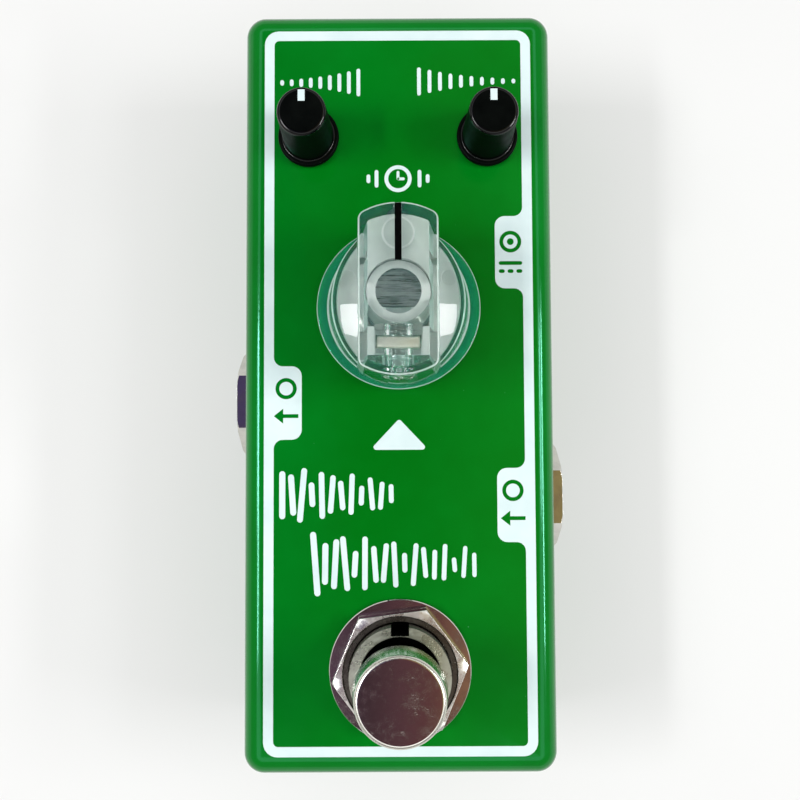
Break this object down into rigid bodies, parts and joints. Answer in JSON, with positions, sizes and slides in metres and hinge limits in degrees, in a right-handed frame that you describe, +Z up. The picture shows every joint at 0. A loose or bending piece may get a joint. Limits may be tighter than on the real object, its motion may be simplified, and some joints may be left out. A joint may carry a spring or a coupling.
{
  "type": "delay pedal",
  "caption": "Compact delay pedal: cast box with small and clear bar knobs on pots, a sprung footswitch, side sockets for leads and supply, board and base plate.",
  "frame": {"origin": "middle of the base plate's underside, which is the bottom centre of the whole box", "axes": "+Z up out of the case's roof, +Y towards the end with the two small knobs, +X towards the wall with the input and supply sockets"},
  "size_m": [0.0432, 0.0936, 0.0467],
  "materials": {
    "case_paint": "glossy green enamel on a cast case",
    "cover_paint": "satin green enamel on the base plate",
    "plated_steel": "polished nickel plate",
    "zinc_steel": "zinc-plated steel",
    "aluminium": "turned aluminium",
    "brass": "bare brass",
    "black_gloss": "glossy black moulding",
    "black_housing": "matt black moulding",
    "grey_housing": "matt dark grey moulding",
    "clear_plastic": "water-clear acrylic",
    "clear_light": "clear light lens",
    "board": "green solder mask",
    "chip": "black moulded chip",
    "wire_red": "red insulation",
    "wire_black": "black insulation"
  },
  "bodies": {
    "housing": {"case_shell": "case_paint", "bottom_cover": "cover_paint", "cover_screw_1": "zinc_steel", "cover_screw_2": "zinc_steel", "cover_screw_3": "zinc_steel", "cover_screw_4": "zinc_steel", "main_board": "board", "delay_chip": "chip", "mixer_chip": "chip", "supply_capacitor": "aluminium", "filter_capacitor": "aluminium", "level_pot_body": "grey_housing", "repeat_pot_body": "grey_housing", "time_pot_body": "zinc_steel", "time_pot_washer": "plated_steel", "time_pot_nut": "plated_steel", "status_led": "clear_light", "output_jack_body": "black_housing", "output_jack_washer": "plated_steel", "output_jack_nut": "plated_steel", "output_jack_sleeve_contact": "brass", "output_jack_tip_contact": "brass", "input_jack_body": "black_housing", "input_jack_washer": "plated_steel", "input_jack_nut": "plated_steel", "input_jack_sleeve_contact": "brass", "input_jack_tip_contact": "brass", "power_jack_housing": "black_housing", "power_jack_pin": "plated_steel", "power_jack_contact": "brass", "switch_wire_1": "wire_red", "switch_wire_2": "wire_black", "footswitch_can": "plated_steel", "footswitch_inner_nut": "plated_steel", "footswitch_washer": "plated_steel", "footswitch_nut": "plated_steel", "footswitch_base": "black_housing", "footswitch_lug_1": "brass", "footswitch_lug_2": "brass"},
    "level_control": {"level_knob": "black_gloss", "level_pot_shaft": "grey_housing"},
    "repeat_control": {"repeat_knob": "black_gloss", "repeat_pot_shaft": "grey_housing"},
    "time_control": {"time_knob": "clear_plastic", "time_pot_shaft": "aluminium", "time_knob_set_screw": "plated_steel", "time_knob_nut": "brass"},
    "footswitch_push": {"footswitch_plunger": "plated_steel", "footswitch_clip": "zinc_steel", "footswitch_spring": "zinc_steel"}
  },
  "joints": [
    {"name": "level_turn", "type": "hinge", "parent": "housing", "child": "level_control", "pos_m": [-0.01095, 0.03075, 0.035], "axis": [0, 0, 1], "range_deg": [-150, 150]},
    {"name": "repeat_turn", "type": "hinge", "parent": "housing", "child": "repeat_control", "pos_m": [0.01095, 0.03075, 0.035], "axis": [0, 0, 1], "range_deg": [-150, 150]},
    {"name": "time_turn", "type": "hinge", "parent": "housing", "child": "time_control", "pos_m": [0, 0.0095, 0.035], "axis": [0, 0, 1], "range_deg": [-150, 150]},
    {"name": "footswitch_press", "type": "slide", "parent": "housing", "child": "footswitch_push", "axis": [0, 0, -1], "range_m": [0, 0.0025], "stiffness_N_per_m": 1500, "springref_m": -0.002, "deforming": ["footswitch_spring"]}
  ]
}
